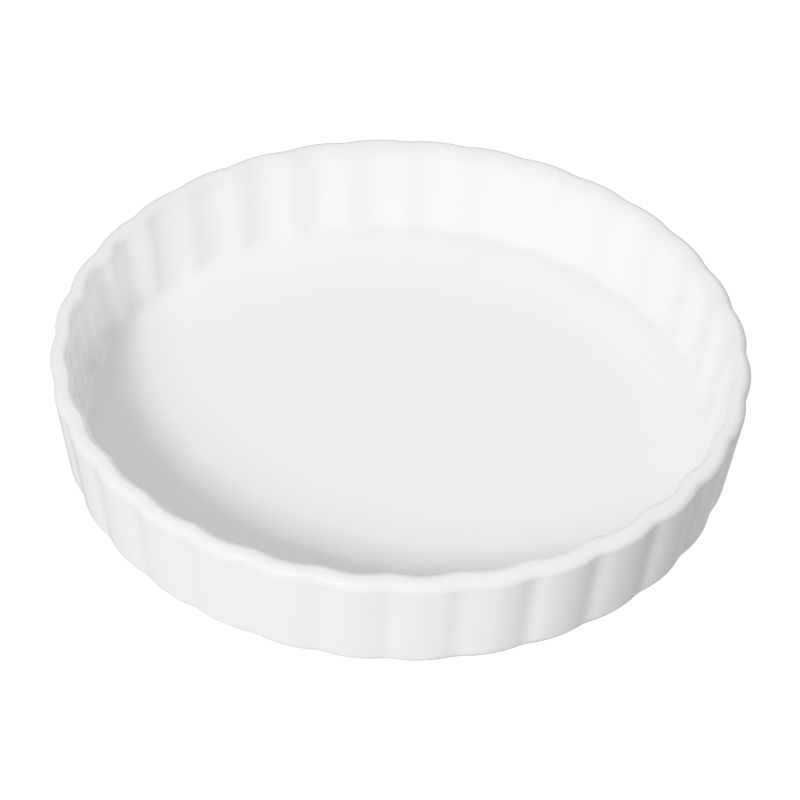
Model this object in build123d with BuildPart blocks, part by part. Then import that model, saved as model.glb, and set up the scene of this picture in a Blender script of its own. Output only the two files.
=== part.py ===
from build123d import *
import os
from math import cos, pi, radians, sin, tan

# ---------------------------------------------------------------------------
# Fluted quiche dish: one fired porcelain body with a glaze fused over it.
# Units are millimetres.  +Z is up, the dish stands on the XY plane, and the
# origin is at the centre of its foot.  The flutes are counted from +X.
# ---------------------------------------------------------------------------

os.makedirs("parts", exist_ok=True)

# Driving dimensions -------------------------------------------------------
flutes = 32                  # waves round the wall, in step inside and outside
samples = 4                  # spline points on each wave
rim_radius = 131.9           # mean outer radius at the rim
height = 44.8                # table to the top of the rim
rim_width = 7.6              # thickness of the rim
rim_edge_in = 3.7            # rounding of its inner edge
rim_edge_out = 3.7           # rounding of its outer edge
outer_draft = 7.4            # degrees, the outside leans out towards the rim
inner_draft = 6.3            # degrees, the cavity opens towards the rim
floor_top = 6.0              # height of the baking floor
floor_corner = 3.6           # rounding between the floor and the wall
base_edge = 5.5              # rounding between the wall and the underside
underside = 0.9              # height of the underside above the table
outer_wave = 0.56            # half of the flute depth, outside
inner_wave = 0.68            # half of the flute depth, inside
fade_in = 0.75               # what is left of a flute at the floor
fade_out = 0.55              # and at the underside
wave_sharpness = 0.15        # second harmonic: broad lobes, narrower valleys
foot_ring_outer = 118.5      # unglazed ring that the dish stands on
foot_ring_inner = 114.0
foot_ring_edge = 0.35        # small rounding on the ring
recess_radius = 111.0        # shallow recess under the floor
recess_top = 1.9
glaze = 0.35                 # thickness of the glaze coat
rim_steps = 5                # steps in the rounding of each edge of the rim
corner_steps = 5             # sections in the floor corner
base_steps = 4               # sections round the base edge

# Centres of the four roundings, as (radius, height) -------------------------
lean_out = radians(outer_draft)
lean_in = radians(inner_draft)
rim_in_centre = (rim_radius - rim_width + rim_edge_in, height - rim_edge_in)
rim_out_centre = (rim_radius - rim_edge_out, height - rim_edge_out)

# the cavity wall touches the rim rounding and the floor corner
wall_in_top = (rim_in_centre[0] - rim_edge_in * cos(lean_in), rim_in_centre[1] + rim_edge_in * sin(lean_in))
corner_z = floor_top + floor_corner
wall_in_low_z = corner_z - floor_corner * sin(lean_in)
wall_in_low_r = wall_in_top[0] + tan(lean_in) * (wall_in_low_z - wall_in_top[1])
corner_centre = (wall_in_low_r - floor_corner * cos(lean_in), corner_z)

# the outside wall touches the rim rounding and the base edge
wall_out_top = (rim_out_centre[0] + rim_edge_out * cos(lean_out), rim_out_centre[1] - rim_edge_out * sin(lean_out))
base_z = underside + base_edge
wall_out_low_z = base_z - base_edge * sin(lean_out)
wall_out_low_r = wall_out_top[0] + tan(lean_out) * (wall_out_low_z - wall_out_top[1])
base_centre = (wall_out_low_r - base_edge * cos(lean_out), base_z)


def wall_profile(skin):
    """Sections from the floor over the rim to the underside.

    Each one is (mean radius, height, flute depth).  The skin is how far the
    surface lies under the finished one, so it widens the hollow corner and
    tightens the three round edges.
    """
    sections = []
    for i in range(corner_steps + 1):
        part = i / corner_steps
        turn = (pi / 2 - lean_in) * part
        radius = floor_corner + skin
        sections.append((
            corner_centre[0] + radius * sin(turn),
            corner_centre[1] - radius * cos(turn),
            inner_wave * (fade_in + (1 - fade_in) * part),
        ))
    for i in range(rim_steps + 1):
        turn = (pi - lean_in) + (lean_in - pi / 2) * i / rim_steps
        radius = rim_edge_in - skin
        sections.append((
            rim_in_centre[0] + radius * cos(turn),
            rim_in_centre[1] + radius * sin(turn),
            inner_wave,
        ))
    for i in range(rim_steps + 1):
        turn = pi / 2 - (pi / 2 + lean_out) * i / rim_steps
        radius = rim_edge_out - skin
        sections.append((
            rim_out_centre[0] + radius * cos(turn),
            rim_out_centre[1] + radius * sin(turn),
            outer_wave,
        ))
    for i in range(base_steps + 1):
        part = i / base_steps
        turn = lean_out + (pi / 2 - lean_out) * part
        radius = base_edge - skin
        sections.append((
            base_centre[0] + radius * cos(turn),
            base_centre[1] - radius * sin(turn),
            outer_wave * (1 - (1 - fade_out) * part),
        ))
    return sections


def flute_points(radius, depth):
    """Points of one closed fluted line: a valley lies at 0 degrees."""
    points = []
    for i in range(flutes * samples):
        turn = 2 * pi * i / (flutes * samples)
        wave = cos(flutes * turn) + wave_sharpness * cos(2 * flutes * turn)
        r = radius - depth * wave
        points.append((r * cos(turn), r * sin(turn)))
    return points


even_steps = [i / (flutes * samples) for i in range(flutes * samples + 1)]
finished = wall_profile(0.0)
under_glaze = wall_profile(glaze)

# ---------------------------------------------------------------------------
# porcelain_body: floor, fluted wall, rim and foot ring in one piece.  It lies
# one glaze thickness under the finished surface, except for the bare ring.
# ---------------------------------------------------------------------------
with BuildPart() as porcelain_body:
    for radius, level, depth in under_glaze:
        with BuildSketch(Plane.XY.offset(level)):
            with BuildLine():
                add(Edge.make_spline(flute_points(radius, depth), periodic=True, parameters=even_steps))
            make_face()
    loft(ruled=True, clean=False)

    # shallow recess under the floor
    with BuildSketch(Plane.XY.offset(underside + glaze)):
        Circle(recess_radius)
    extrude(amount=recess_top - underside, mode=Mode.SUBTRACT)

    # bare foot ring
    with BuildSketch(Plane.XY):
        Circle(foot_ring_outer)
        Circle(foot_ring_inner, mode=Mode.SUBTRACT)
    extrude(amount=underside + glaze)
    fillet(porcelain_body.edges().group_by(Axis.Z)[0], foot_ring_edge)

# ---------------------------------------------------------------------------
# glaze_coat: the glassy coat over the floor, the wall inside and outside, the
# rim and the edge of the underside, down to the foot ring.
# ---------------------------------------------------------------------------
with BuildPart() as glaze_coat:
    for radius, level, depth in finished:
        with BuildSketch(Plane.XY.offset(level)):
            with BuildLine():
                add(Edge.make_spline(flute_points(radius, depth), periodic=True, parameters=even_steps))
            make_face()
    with BuildSketch(Plane.XY.offset(underside)):
        with BuildLine():
            add(Edge.make_spline(flute_points(foot_ring_outer, 0), periodic=True, parameters=even_steps))
        make_face()
    with BuildSketch(Plane.XY.offset(underside + glaze)):
        with BuildLine():
            add(Edge.make_spline(flute_points(foot_ring_outer, 0), periodic=True, parameters=even_steps))
        make_face()
    for radius, level, depth in reversed(under_glaze):
        with BuildSketch(Plane.XY.offset(level)):
            with BuildLine():
                add(Edge.make_spline(flute_points(radius, depth), periodic=True, parameters=even_steps))
            make_face()
    loft(ruled=True, clean=False)

# ---------------------------------------------------------------------------
# base_glaze: the round field of glaze under the floor, inside the foot ring.
# ---------------------------------------------------------------------------
with BuildPart() as base_glaze:
    # the flat margin beside the ring and the step up into the recess
    with BuildSketch(Plane.XY.offset(underside)):
        Circle(foot_ring_inner)
        Circle(recess_radius - glaze, mode=Mode.SUBTRACT)
    extrude(amount=glaze)
    # the field of the recess
    with BuildSketch(Plane.XY.offset(underside)):
        Circle(recess_radius)
        Circle(recess_radius - glaze, mode=Mode.SUBTRACT)
    extrude(amount=recess_top + glaze - underside)
    with BuildSketch(Plane.XY.offset(recess_top)):
        Circle(recess_radius)
    extrude(amount=glaze)

porcelain_body.part.label = "porcelain_body"
glaze_coat.part.label = "glaze_coat"
base_glaze.part.label = "base_glaze"

export_step(porcelain_body.part, "parts/porcelain_body.step")
export_step(glaze_coat.part, "parts/glaze_coat.step")
export_step(base_glaze.part, "parts/base_glaze.step")

for piece in (porcelain_body, glaze_coat, base_glaze):
    box = piece.part.bounding_box()
    print(
        piece.part.label,
        "solids", len(piece.part.solids()),
        "valid", piece.part.is_valid,
        "volume", round(piece.part.volume, 1),
        "size", [round(v, 2) for v in (box.size.X, box.size.Y, box.size.Z)],
        "z", round(box.min.Z, 2), round(box.max.Z, 2),
    )
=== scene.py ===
import math

import bpy
from mathutils import Matrix, Vector


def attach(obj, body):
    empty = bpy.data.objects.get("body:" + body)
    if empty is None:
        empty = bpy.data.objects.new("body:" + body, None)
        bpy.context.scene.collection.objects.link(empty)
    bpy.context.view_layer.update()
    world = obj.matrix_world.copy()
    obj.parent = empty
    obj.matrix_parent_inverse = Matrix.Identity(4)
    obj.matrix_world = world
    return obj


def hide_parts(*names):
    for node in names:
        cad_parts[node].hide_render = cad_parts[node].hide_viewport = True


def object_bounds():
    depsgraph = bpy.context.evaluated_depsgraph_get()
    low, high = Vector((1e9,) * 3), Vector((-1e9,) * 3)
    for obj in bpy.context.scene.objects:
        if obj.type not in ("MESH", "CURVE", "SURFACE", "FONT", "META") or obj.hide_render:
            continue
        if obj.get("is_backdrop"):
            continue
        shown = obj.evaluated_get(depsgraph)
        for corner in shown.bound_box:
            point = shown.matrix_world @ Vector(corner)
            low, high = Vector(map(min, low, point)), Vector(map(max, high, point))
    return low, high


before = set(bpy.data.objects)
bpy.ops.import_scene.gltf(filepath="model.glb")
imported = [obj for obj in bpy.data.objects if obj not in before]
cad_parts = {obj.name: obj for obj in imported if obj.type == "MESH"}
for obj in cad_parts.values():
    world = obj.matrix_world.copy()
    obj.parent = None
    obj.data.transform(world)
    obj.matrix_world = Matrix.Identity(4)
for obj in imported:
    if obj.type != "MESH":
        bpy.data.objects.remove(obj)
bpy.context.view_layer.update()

scene = bpy.context.scene

# ---------------------------------------------------------------------------
# The dish, in millimetres: the same driving dimensions as the CAD model
# ---------------------------------------------------------------------------
FLUTES = 32
RIM_RADIUS = 131.9
HEIGHT = 44.8
RIM_WIDTH = 7.6
RIM_EDGE_IN = 3.7
RIM_EDGE_OUT = 3.7
DRAFT_OUT = math.radians(7.4)
DRAFT_IN = math.radians(6.3)
FLOOR = 6.0
CORNER = 3.6
BASE_EDGE = 5.5
UNDERSIDE = 0.9
WAVE_OUT = 0.56
WAVE_IN = 0.70
SWELL = 0.14                 # how much deeper the flutes are half way up the wall
SHARPNESS = (0.21, 0.08)     # second harmonic of a flute, outside and inside
CREASE = (0.06, 0.0)         # third harmonic
RING_OUT = 118.5
RING_IN = 114.0
RECESS = 111.0
RECESS_TOP = 1.9
GLAZE = 0.35

TURNS = FLUTES * 28          # columns round the dish
RIM_IN_C = (RIM_RADIUS - RIM_WIDTH + RIM_EDGE_IN, HEIGHT - RIM_EDGE_IN)
RIM_OUT_C = (RIM_RADIUS - RIM_EDGE_OUT, HEIGHT - RIM_EDGE_OUT)
IN_TOP = (RIM_IN_C[0] - RIM_EDGE_IN * math.cos(DRAFT_IN), RIM_IN_C[1] + RIM_EDGE_IN * math.sin(DRAFT_IN))
CORNER_Z = FLOOR + CORNER
IN_LOW_Z = CORNER_Z - CORNER * math.sin(DRAFT_IN)
IN_LOW_R = IN_TOP[0] + math.tan(DRAFT_IN) * (IN_LOW_Z - IN_TOP[1])
CORNER_C = (IN_LOW_R - CORNER * math.cos(DRAFT_IN), CORNER_Z)
OUT_TOP = (RIM_OUT_C[0] + RIM_EDGE_OUT * math.cos(DRAFT_OUT), RIM_OUT_C[1] - RIM_EDGE_OUT * math.sin(DRAFT_OUT))
BASE_Z = UNDERSIDE + BASE_EDGE
OUT_LOW_Z = BASE_Z - BASE_EDGE * math.sin(DRAFT_OUT)
OUT_LOW_R = OUT_TOP[0] + math.tan(DRAFT_OUT) * (OUT_LOW_Z - OUT_TOP[1])
BASE_C = (OUT_LOW_R - BASE_EDGE * math.cos(DRAFT_OUT), BASE_Z)


def ease(x):
    x = min(1.0, max(0.0, x))
    return x * x * (3 - 2 * x)


def arc(centre, radius, start, end, steps, depth):
    """Rings along an arc of the profile; depth(part) is the flute depth there."""
    rings = []
    for i in range(steps + 1):
        part = i / steps
        turn = start + (end - start) * part
        rings.append((centre[0] + radius * math.cos(turn), centre[1] + radius * math.sin(turn), depth(part)))
    return rings


def between(a, b, steps, swell=0.0):
    """Rings strictly between two rings of the profile, with deeper flutes half way if swell is given."""
    rings = []
    for i in range(1, steps):
        radius, level, depth = (a[k] + (b[k] - a[k]) * i / steps for k in range(3))
        rings.append((radius, level, depth * (1 + swell * math.sin(math.pi * i / steps))))
    return rings


def wall(skin, fine):
    """Rings from the floor, over the rim, to the underside, that far under the glaze."""
    corner = arc(
        CORNER_C, CORNER + skin, -math.pi / 2, -DRAFT_IN, 14 if fine else 7,
        lambda part: WAVE_IN * (0.65 + 0.35 * ease(part)),
    )
    inner_edge = arc(
        RIM_IN_C, RIM_EDGE_IN - skin, math.pi - DRAFT_IN, math.pi / 2, 12 if fine else 6,
        lambda part: WAVE_IN,
    )
    outer_edge = arc(
        RIM_OUT_C, RIM_EDGE_OUT - skin, math.pi / 2, -DRAFT_OUT, 12 if fine else 6,
        lambda part: WAVE_OUT * (0.82 - 0.06 * part + 0.34 * part * part),
    )
    top = between(inner_edge[-1], outer_edge[0], 3)
    rim = inner_edge + top + outer_edge
    base = arc(
        BASE_C, BASE_EDGE - skin, -DRAFT_OUT, -math.pi / 2, 12 if fine else 6,
        lambda part: WAVE_OUT * (1 - 0.45 * ease(part)),
    )
    many = 18 if fine else 7
    return corner + between(corner[-1], rim[0], many, SWELL) + rim + between(rim[-1], base[0], many, SWELL) + base


def unevenness(turn, level, inner):
    """Small slow errors of a pressed and fired wall, in millimetres: radial, and in height."""
    high = ease((level - 3) / 30)
    radial = high * (
        0.070 * math.sin(2 * turn + 0.7) + 0.050 * math.sin(3 * turn + 2.1)
        + 0.035 * math.sin(5 * turn + 4.0) + 0.030 * math.sin(11 * turn + 1.3)
    )
    up = ease((level - 24) / 17) * (0.050 * math.sin(2 * turn + 1.9) + 0.035 * math.sin(7 * turn + 0.4)
                                   + 0.025 * math.sin(19 * turn + 2.2)) - 0.11 * ease((level - 24) / 17)
    # the rim and wall are a little thicker in front than at the sides
    radial += inner * high * (-0.05 + 0.225 * math.sin(turn) + 0.275 * math.cos(2 * turn))
    return radial - 0.30 * high, up


def flute(turn, level, depth, inner):
    """Radial offset of the fluted line: valleys at 0 degrees, lobes half a pitch on.

    The spacing is not quite even round the wall, as in the real dish.
    """
    drift = (0.003 + 0.0097 * math.cos(turn) + 0.0109 * math.sin(turn)
             + 0.0070 * math.cos(2 * turn) + 0.0060 * math.sin(2 * turn))
    pitch = FLUTES * (turn - drift + 0.0010 * math.sin(5 * turn + 0.3) + 0.0010 * math.sin(13 * turn + 1.7))
    uneven = 1 + 0.06 * math.sin(7 * turn + 0.5) + 0.05 * math.sin(12 * turn + 2.6)
    uneven *= 1 + 0.24 * inner * math.cos(2 * (turn - 2.15))
    # the flutes of the cavity are worn shallower on the left, under the rim
    uneven *= 1 - 0.55 * inner * math.exp(-((turn - 3.36) / 0.34) ** 2) * ease((43 - level) / 12)
    second, third = (pair[0] + (pair[1] - pair[0]) * inner for pair in (SHARPNESS, CREASE))
    return -depth * 0.985 * uneven * (
        math.cos(pitch) + second * math.cos(2 * pitch) + third * math.cos(3 * pitch))


def lathe(name, rings, material):
    """A closed mesh through these rings (mean radius, height, flute depth), ending in a pole at each end."""
    verts, faces = [], []
    starts = []
    for radius, level, depth in rings:
        starts.append(len(verts))
        # 0 outside the middle of the rim, 1 on the cavity side
        inner = ease((128.0 - radius) / 3.4) if radius < 121.5 or level > 7 else 0.0
        if radius < 1e-6:
            verts.append((0.0, 0.0, level / 1000))
            continue
        for i in range(TURNS):
            turn = 2 * math.pi * i / TURNS
            r, z = radius, level
            if depth > 0:
                radial, up = unevenness(turn, level, inner)
                r += flute(turn, level, depth, inner) + radial
                z += up
            verts.append((r * math.cos(turn) / 1000, r * math.sin(turn) / 1000, z / 1000))
    for k in range(len(rings) - 1):
        a, b = starts[k], starts[k + 1]
        for i in range(TURNS):
            j = (i + 1) % TURNS
            if rings[k][0] < 1e-6:
                faces.append((a, b + j, b + i))
            elif rings[k + 1][0] < 1e-6:
                faces.append((a + i, a + j, b))
            else:
                faces.append((a + i, a + j, b + j, b + i))
    mesh = bpy.data.meshes.new(name)
    mesh.from_pydata(verts, [], faces)
    mesh.update()
    volume = 0.0
    for f in mesh.polygons:
        c = [mesh.vertices[v].co for v in f.vertices]
        for n in range(1, len(c) - 1):
            volume += c[0].dot(c[n].cross(c[n + 1]))
    if volume < 0:
        mesh.flip_normals()
    mesh.shade_smooth()
    mesh.set_sharp_from_angle(angle=math.radians(38))
    piece = bpy.data.objects.new(name, mesh)
    scene.collection.objects.link(piece)
    mesh.materials.append(material)
    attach(piece, "root")
    return piece


def disc(radius, level, steps):
    """Rings of a flat round field, from its pole outwards."""
    return [(radius * i / steps, level, 0.0) for i in range(steps)]


# ---------------------------------------------------------------------------
# Materials
# ---------------------------------------------------------------------------
def node(tree, kind, **values):
    made = tree.nodes.new(kind)
    for key, value in values.items():
        if key.startswith("i_"):
            made.inputs[key[2:].replace("_", " ")].default_value = value
        else:
            setattr(made, key, value)
    return made


def glaze_material():
    """White glaze: even, very slightly clouded, with a soft orange peel and a few pinholes."""
    mat = bpy.data.materials.new("white_glaze")
    mat.use_nodes = True
    t = mat.node_tree
    b = t.nodes["Principled BSDF"]
    b.inputs["IOR"].default_value = 1.5
    b.inputs["Specular IOR Level"].default_value = 0.5
    coord = node(t, "ShaderNodeTexCoord")

    cloud = node(t, "ShaderNodeTexNoise", i_Scale=26.0, i_Detail=3.0, i_Roughness=0.5)
    t.links.new(coord.outputs["Object"], cloud.inputs["Vector"])
    tone = node(t, "ShaderNodeValToRGB")
    tone.color_ramp.elements[0].position = 0.30
    tone.color_ramp.elements[0].color = (0.890, 0.890, 0.889, 1)
    tone.color_ramp.elements[1].position = 0.72
    tone.color_ramp.elements[1].color = (0.910, 0.910, 0.909, 1)
    t.links.new(cloud.outputs["Fac"], tone.inputs["Fac"])

    specks = node(t, "ShaderNodeTexVoronoi", feature="F1", i_Scale=75.0, i_Randomness=1.0)
    t.links.new(coord.outputs["Object"], specks.inputs["Vector"])
    dot = node(t, "ShaderNodeMapRange")
    dot.inputs["From Min"].default_value = 0.012
    dot.inputs["From Max"].default_value = 0.030
    dot.inputs["To Min"].default_value = 1.0
    dot.inputs["To Max"].default_value = 0.0
    t.links.new(specks.outputs["Distance"], dot.inputs["Value"])
    pick = node(t, "ShaderNodeSeparateColor")
    t.links.new(specks.outputs["Color"], pick.inputs["Color"])
    few = node(t, "ShaderNodeMath", operation="LESS_THAN")
    few.inputs[1].default_value = 0.03
    t.links.new(pick.outputs["Red"], few.inputs[0])
    spot = node(t, "ShaderNodeMath", operation="MULTIPLY")
    t.links.new(dot.outputs["Result"], spot.inputs[0])
    t.links.new(few.outputs["Value"], spot.inputs[1])
    colour = node(t, "ShaderNodeMix", data_type="RGBA")
    t.links.new(spot.outputs["Value"], colour.inputs["Factor"])
    t.links.new(tone.outputs["Color"], colour.inputs["A"])
    colour.inputs["B"].default_value = (0.70, 0.69, 0.67, 1)

    # painted shade: the colour over the rim, from 37 to 43.5 mm up, is darkened by up to 8 per cent so that the rim
    # shows less bright under the lamps
    place = node(t, "ShaderNodeSeparateXYZ")
    t.links.new(coord.outputs["Object"], place.inputs["Vector"])
    rim_painted_shade = node(t, "ShaderNodeMapRange", interpolation_type="SMOOTHSTEP")
    rim_painted_shade.inputs["From Min"].default_value = 0.0370
    rim_painted_shade.inputs["From Max"].default_value = 0.0435
    rim_painted_shade.inputs["To Min"].default_value = 1.0
    rim_painted_shade.inputs["To Max"].default_value = 0.92
    t.links.new(place.outputs["Z"], rim_painted_shade.inputs["Value"])
    # the glaze colour times the painted shade over the rim
    rim_shaded_colour = node(t, "ShaderNodeMix", data_type="RGBA", blend_type="MULTIPLY")
    rim_shaded_colour.inputs["Factor"].default_value = 1.0
    t.links.new(colour.outputs["Result"], rim_shaded_colour.inputs["A"])
    t.links.new(rim_painted_shade.outputs["Result"], rim_shaded_colour.inputs["B"])
    t.links.new(rim_shaded_colour.outputs["Result"], b.inputs["Base Color"])

    gloss = node(t, "ShaderNodeTexNoise", i_Scale=60.0, i_Detail=4.0, i_Roughness=0.55)
    t.links.new(coord.outputs["Object"], gloss.inputs["Vector"])
    rough = node(t, "ShaderNodeMapRange")
    rough.inputs["From Min"].default_value = 0.3
    rough.inputs["From Max"].default_value = 0.7
    rough.inputs["To Min"].default_value = 0.07
    rough.inputs["To Max"].default_value = 0.12
    t.links.new(gloss.outputs["Fac"], rough.inputs["Value"])
    t.links.new(rough.outputs["Result"], b.inputs["Roughness"])

    wavy = node(t, "ShaderNodeTexNoise", i_Scale=95.0, i_Detail=1.5, i_Roughness=0.45)
    t.links.new(coord.outputs["Object"], wavy.inputs["Vector"])
    peel = node(t, "ShaderNodeTexNoise", i_Scale=420.0, i_Detail=2.0, i_Roughness=0.5)
    t.links.new(coord.outputs["Object"], peel.inputs["Vector"])
    first = node(t, "ShaderNodeBump", i_Strength=1.0, i_Distance=0.00003)
    t.links.new(wavy.outputs["Fac"], first.inputs["Height"])
    second = node(t, "ShaderNodeBump", i_Strength=1.0, i_Distance=0.000008)
    t.links.new(peel.outputs["Fac"], second.inputs["Height"])
    t.links.new(first.outputs["Normal"], second.inputs["Normal"])
    t.links.new(second.outputs["Normal"], b.inputs["Normal"])
    return mat


def bare_material():
    """Unglazed fired porcelain: matt, fine grained, rubbed a little grey where it stands."""
    mat = bpy.data.materials.new("bare_porcelain")
    mat.use_nodes = True
    t = mat.node_tree
    b = t.nodes["Principled BSDF"]
    b.inputs["IOR"].default_value = 1.48
    b.inputs["Specular IOR Level"].default_value = 0.3
    coord = node(t, "ShaderNodeTexCoord")
    grain = node(t, "ShaderNodeTexNoise", i_Scale=900.0, i_Detail=4.0, i_Roughness=0.6)
    t.links.new(coord.outputs["Object"], grain.inputs["Vector"])
    patch = node(t, "ShaderNodeTexNoise", i_Scale=55.0, i_Detail=5.0, i_Roughness=0.65)
    t.links.new(coord.outputs["Object"], patch.inputs["Vector"])
    tone = node(t, "ShaderNodeValToRGB")
    tone.color_ramp.elements[0].position = 0.34
    tone.color_ramp.elements[0].color = (0.62, 0.60, 0.57, 1)
    tone.color_ramp.elements[1].position = 0.58
    tone.color_ramp.elements[1].color = (0.80, 0.785, 0.755, 1)
    t.links.new(patch.outputs["Fac"], tone.inputs["Fac"])
    t.links.new(tone.outputs["Color"], b.inputs["Base Color"])
    rough = node(t, "ShaderNodeMapRange")
    rough.inputs["To Min"].default_value = 0.58
    rough.inputs["To Max"].default_value = 0.82
    t.links.new(grain.outputs["Fac"], rough.inputs["Value"])
    t.links.new(rough.outputs["Result"], b.inputs["Roughness"])
    bump = node(t, "ShaderNodeBump", i_Strength=1.0, i_Distance=0.00003)
    t.links.new(grain.outputs["Fac"], bump.inputs["Height"])
    t.links.new(bump.outputs["Normal"], b.inputs["Normal"])
    return mat


white_glaze = glaze_material()
bare_porcelain = bare_material()

# ---------------------------------------------------------------------------
# The three pieces
# ---------------------------------------------------------------------------
top_skin = disc(CORNER_C[0], FLOOR, 9) + wall(0.0, True)
under_skin = disc(CORNER_C[0], FLOOR - GLAZE, 5) + wall(GLAZE, False)
seam = UNDERSIDE + GLAZE

glaze_rings = (
    top_skin
    + between(top_skin[-1], (RING_OUT + 0.25, UNDERSIDE, 0.0), 2)
    + [(RING_OUT + 0.25, UNDERSIDE, 0.0), (RING_OUT + 0.07, UNDERSIDE + 0.06, 0.0), (RING_OUT, UNDERSIDE + 0.2, 0.0),
       (RING_OUT, seam, 0.0)]
    + under_skin[::-1]
)
dish_glaze = lathe("dish_glaze", glaze_rings, white_glaze)
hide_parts("glaze_coat")

edge = 0.35
body_rings = (
    under_skin
    + [(RING_OUT, seam, 0.0), (RING_OUT, edge, 0.0), (RING_OUT - 0.1, 0.1, 0.0), (RING_OUT - edge, 0.0, 0.0),
       (RING_IN + edge, 0.0, 0.0), (RING_IN + 0.1, 0.1, 0.0), (RING_IN, edge, 0.0), (RING_IN, seam, 0.0),
       (RECESS, seam, 0.0), (RECESS, RECESS_TOP + GLAZE, 0.0)]
    + disc(RECESS, RECESS_TOP + GLAZE, 5)[::-1]
)
dish_body = lathe("dish_body", body_rings, bare_porcelain)
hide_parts("porcelain_body")

base_rings = (
    disc(RECESS, RECESS_TOP + GLAZE, 3)
    + [(RECESS, RECESS_TOP + GLAZE, 0.0), (RECESS, seam, 0.0), (RING_IN, seam, 0.0), (RING_IN, UNDERSIDE + 0.2, 0.0),
       (RING_IN - 0.07, UNDERSIDE + 0.06, 0.0), (RING_IN - 0.25, UNDERSIDE, 0.0), (RECESS + 0.5, UNDERSIDE, 0.0),
       (RECESS - 0.05, UNDERSIDE + 0.12, 0.0), (RECESS - 0.35, UNDERSIDE + 0.35, 0.0), (RECESS - 0.55, UNDERSIDE + 0.65, 0.0),
       (RECESS - 0.9, UNDERSIDE + 0.88, 0.0), (RECESS - 1.5, RECESS_TOP, 0.0)]
    + disc(RECESS - 1.5, RECESS_TOP, 6)[::-1]
)
dish_base = lathe("dish_base_glaze", base_rings, white_glaze)
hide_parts("base_glaze")

# ---------------------------------------------------------------------------
# Floor, light, camera
# ---------------------------------------------------------------------------
floor_mesh = bpy.data.meshes.new("floor")
floor_mesh.from_pydata([(-6, -6, 0), (6, -6, 0), (6, 6, 0), (-6, 6, 0)], [], [(0, 1, 2, 3)])
floor = bpy.data.objects.new("floor", floor_mesh)
scene.collection.objects.link(floor)
floor_mat = bpy.data.materials.new("floor_white")
floor_mat.use_nodes = True
fb = floor_mat.node_tree.nodes["Principled BSDF"]
fb.inputs["Base Color"].default_value = (0.93, 0.93, 0.93, 1)
fb.inputs["Roughness"].default_value = 0.9
fb.inputs["Specular IOR Level"].default_value = 0.1
fb.inputs["Emission Color"].default_value = (1, 1, 1, 1)
fb.inputs["Emission Strength"].default_value = 1.0
floor_mesh.materials.append(floor_mat)
floor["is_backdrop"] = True
# a bright light table, which shows white and throws no light of its own on the dish: the
# light that reaches the wall from below comes from the lower half of the room
floor.visible_diffuse = False
floor.visible_glossy = False

world = bpy.data.worlds.new("studio")
scene.world = world
world.use_nodes = True
world.cycles.sampling_method = "NONE"
sky = world.node_tree
background = sky.nodes["Background"]
way = node(sky, "ShaderNodeTexCoord")
split = node(sky, "ShaderNodeSeparateXYZ")
sky.links.new(way.outputs["Generated"], split.inputs["Vector"])
# below the horizon the room is a little brighter at the left and behind than in front: these
# are (azimuth from +X in degrees, radiance)
GROUND = [(0, 0.41), (30, 0.51), (60, 0.55), (90, 0.56), (120, 0.57), (150, 0.57), (180, 0.56), (210, 0.53),
          (240, 0.47), (270, 0.40), (300, 0.36), (330, 0.37), (360, 0.41)]
round_about = node(sky, "ShaderNodeMath", operation="ARCTAN2")
turned_x = node(sky, "ShaderNodeMath", operation="MULTIPLY")
turned_x.inputs[1].default_value = -1.0
turned_y = node(sky, "ShaderNodeMath", operation="MULTIPLY")
turned_y.inputs[1].default_value = -1.0
sky.links.new(split.outputs["X"], turned_x.inputs[0])
sky.links.new(split.outputs["Y"], turned_y.inputs[0])
sky.links.new(turned_y.outputs["Value"], round_about.inputs[0])
sky.links.new(turned_x.outputs["Value"], round_about.inputs[1])
compass = node(sky, "ShaderNodeMapRange")
compass.inputs["From Min"].default_value = -math.pi
compass.inputs["From Max"].default_value = math.pi
sky.links.new(round_about.outputs["Value"], compass.inputs["Value"])
low = node(sky, "ShaderNodeFloatCurve")
curve = low.mapping.curves[0]
low.mapping.clip_max_y = 2.0
while len(curve.points) < len(GROUND):
    curve.points.new(0.5, 0.5)
for point, (azimuth, radiance) in zip(curve.points, GROUND):
    point.location = (azimuth / 360, radiance)
    point.handle_type = "VECTOR"
low.mapping.update()
sky.links.new(compass.outputs["Result"], low.inputs["Value"])
above = node(sky, "ShaderNodeMapRange")
above.inputs["From Min"].default_value = -0.06
above.inputs["From Max"].default_value = 0.0
sky.links.new(split.outputs["Z"], above.inputs["Value"])
room = node(sky, "ShaderNodeMix", data_type="FLOAT")
room.inputs["B"].default_value = 0.401
sky.links.new(above.outputs["Result"], room.inputs["Factor"])
sky.links.new(low.outputs["Value"], room.inputs["A"])
sky.links.new(room.outputs["Result"], background.inputs["Strength"])
background.inputs["Color"].default_value = (1, 1, 1, 1)


def softbox(name, azimuth, elevation, distance, size, power, aim=(0, 0, 0.02), glossy=False):
    """An area light (its width and height) seen from the dish at that azimuth (from +X) and elevation.

    It lights the matt part of every surface, or with glossy set it is only seen reflected.
    """
    a, e = math.radians(azimuth), math.radians(elevation)
    out = Vector((math.cos(a) * math.cos(e), math.sin(a) * math.cos(e), math.sin(e)))
    side = Vector((-math.sin(a), math.cos(a), 0.0))
    data = bpy.data.lights.new(name, "AREA")
    data.shape = "RECTANGLE"
    data.size, data.size_y = size
    data.energy = power
    lamp = bpy.data.objects.new(name, data)
    lamp.location = Vector(aim) + out * distance
    lamp.rotation_mode = "QUATERNION"
    lamp.rotation_quaternion = Matrix((side, out.cross(side), out)).transposed().to_quaternion()
    lamp.visible_glossy = glossy
    lamp.visible_diffuse = not glossy
    scene.collection.objects.link(lamp)
    return lamp


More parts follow.
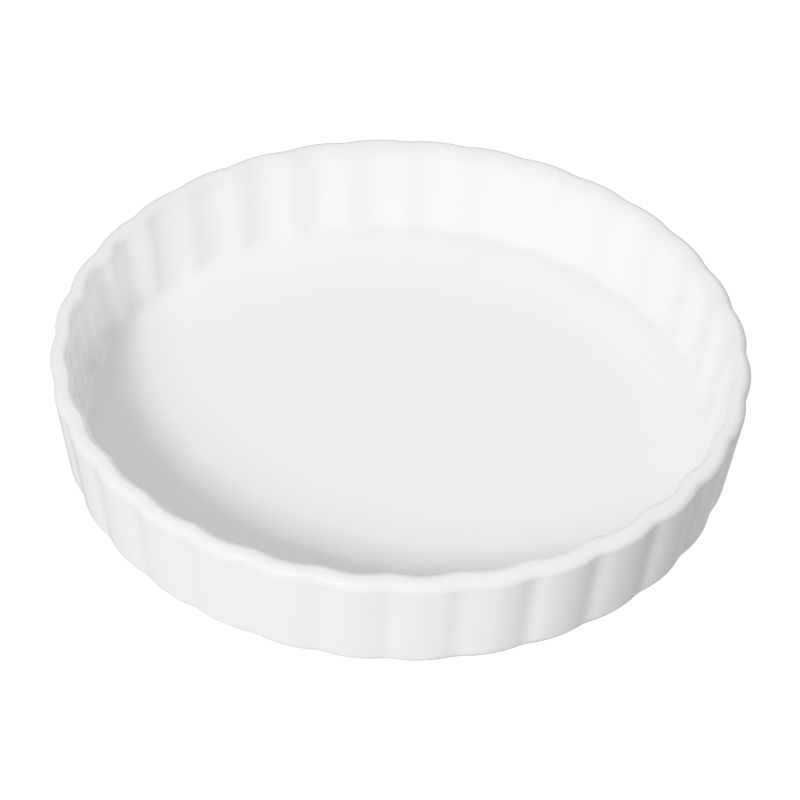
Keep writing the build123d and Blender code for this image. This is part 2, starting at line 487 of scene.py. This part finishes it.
softbox("key_softbox", 245.0, 32.0, 2.0, (0.50, 0.60), 34.3)
softbox("top_softbox", 45, 65, 2.0, (0.80, 0.80), 4.8)
softbox("right_fill", 15, 24, 2.0, (1.30, 1.30), 4.7)
softbox("back_fill", 135, 29, 2.0, (1.30, 1.30), 3.35)
# the soft gleam on the rim and on the floor corner
softbox("gleam", 240, 36, 2.0, (0.62, 0.26), 3.4, glossy=True)
# a pale wall behind, which the floor of the dish mirrors faintly
softbox("pale_wall", 90, 43, 2.0, (1.50, 1.10), 1.7, glossy=True)

# the camera stands in front of the dish, looking down at it, turned a little
CAM_ELEVATION = math.radians(41.003)
CAM_AZIMUTH = math.radians(-0.478)
CAM_ROLL = math.radians(2.227)
CAM_DISTANCE = 1.090792
CAM_RIGHT = 0.000720
CAM_UP = 0.011273
CAM_FOCAL_PIXELS = 2814.6

back = Vector((
    math.sin(CAM_AZIMUTH) * math.cos(CAM_ELEVATION),
    -math.cos(CAM_AZIMUTH) * math.cos(CAM_ELEVATION),
    math.sin(CAM_ELEVATION),
))
level_right = Vector((0, 0, 1)).cross(back).normalized()
level_up = back.cross(level_right)
right = level_right * math.cos(CAM_ROLL) + level_up * math.sin(CAM_ROLL)
up = -level_right * math.sin(CAM_ROLL) + level_up * math.cos(CAM_ROLL)
camera_data = bpy.data.cameras.new("camera")
camera_data.sensor_fit = "HORIZONTAL"
camera_data.sensor_width = 36.0
camera_data.lens = 36.0 * CAM_FOCAL_PIXELS / 800
camera_data.clip_start = 0.05
camera_data.clip_end = 50
camera = bpy.data.objects.new("camera", camera_data)
camera.location = back * CAM_DISTANCE + right * CAM_RIGHT + up * CAM_UP
camera.rotation_mode = "QUATERNION"
camera.rotation_quaternion = Matrix((right, up, back)).transposed().to_quaternion()
scene.collection.objects.link(camera)
scene.camera = camera

scene.view_settings.view_transform = "Standard"
scene.view_settings.look = "None"
scene.view_settings.exposure = 0.0
scene.view_settings.gamma = 1.0
# the brightest tones are held back, as a camera does
scene.view_settings.use_curve_mapping = True
shoulder = scene.view_settings.curve_mapping
shoulder.extend = "EXTRAPOLATED"
tones = shoulder.curves[3]
tones.points.new(0.80, 0.80)
for point, place in zip(tones.points, ((0.0, 0.0), (0.80, 0.80), (1.0, 0.88))):
    point.location = place
    point.handle_type = "VECTOR"
shoulder.update()

low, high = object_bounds()
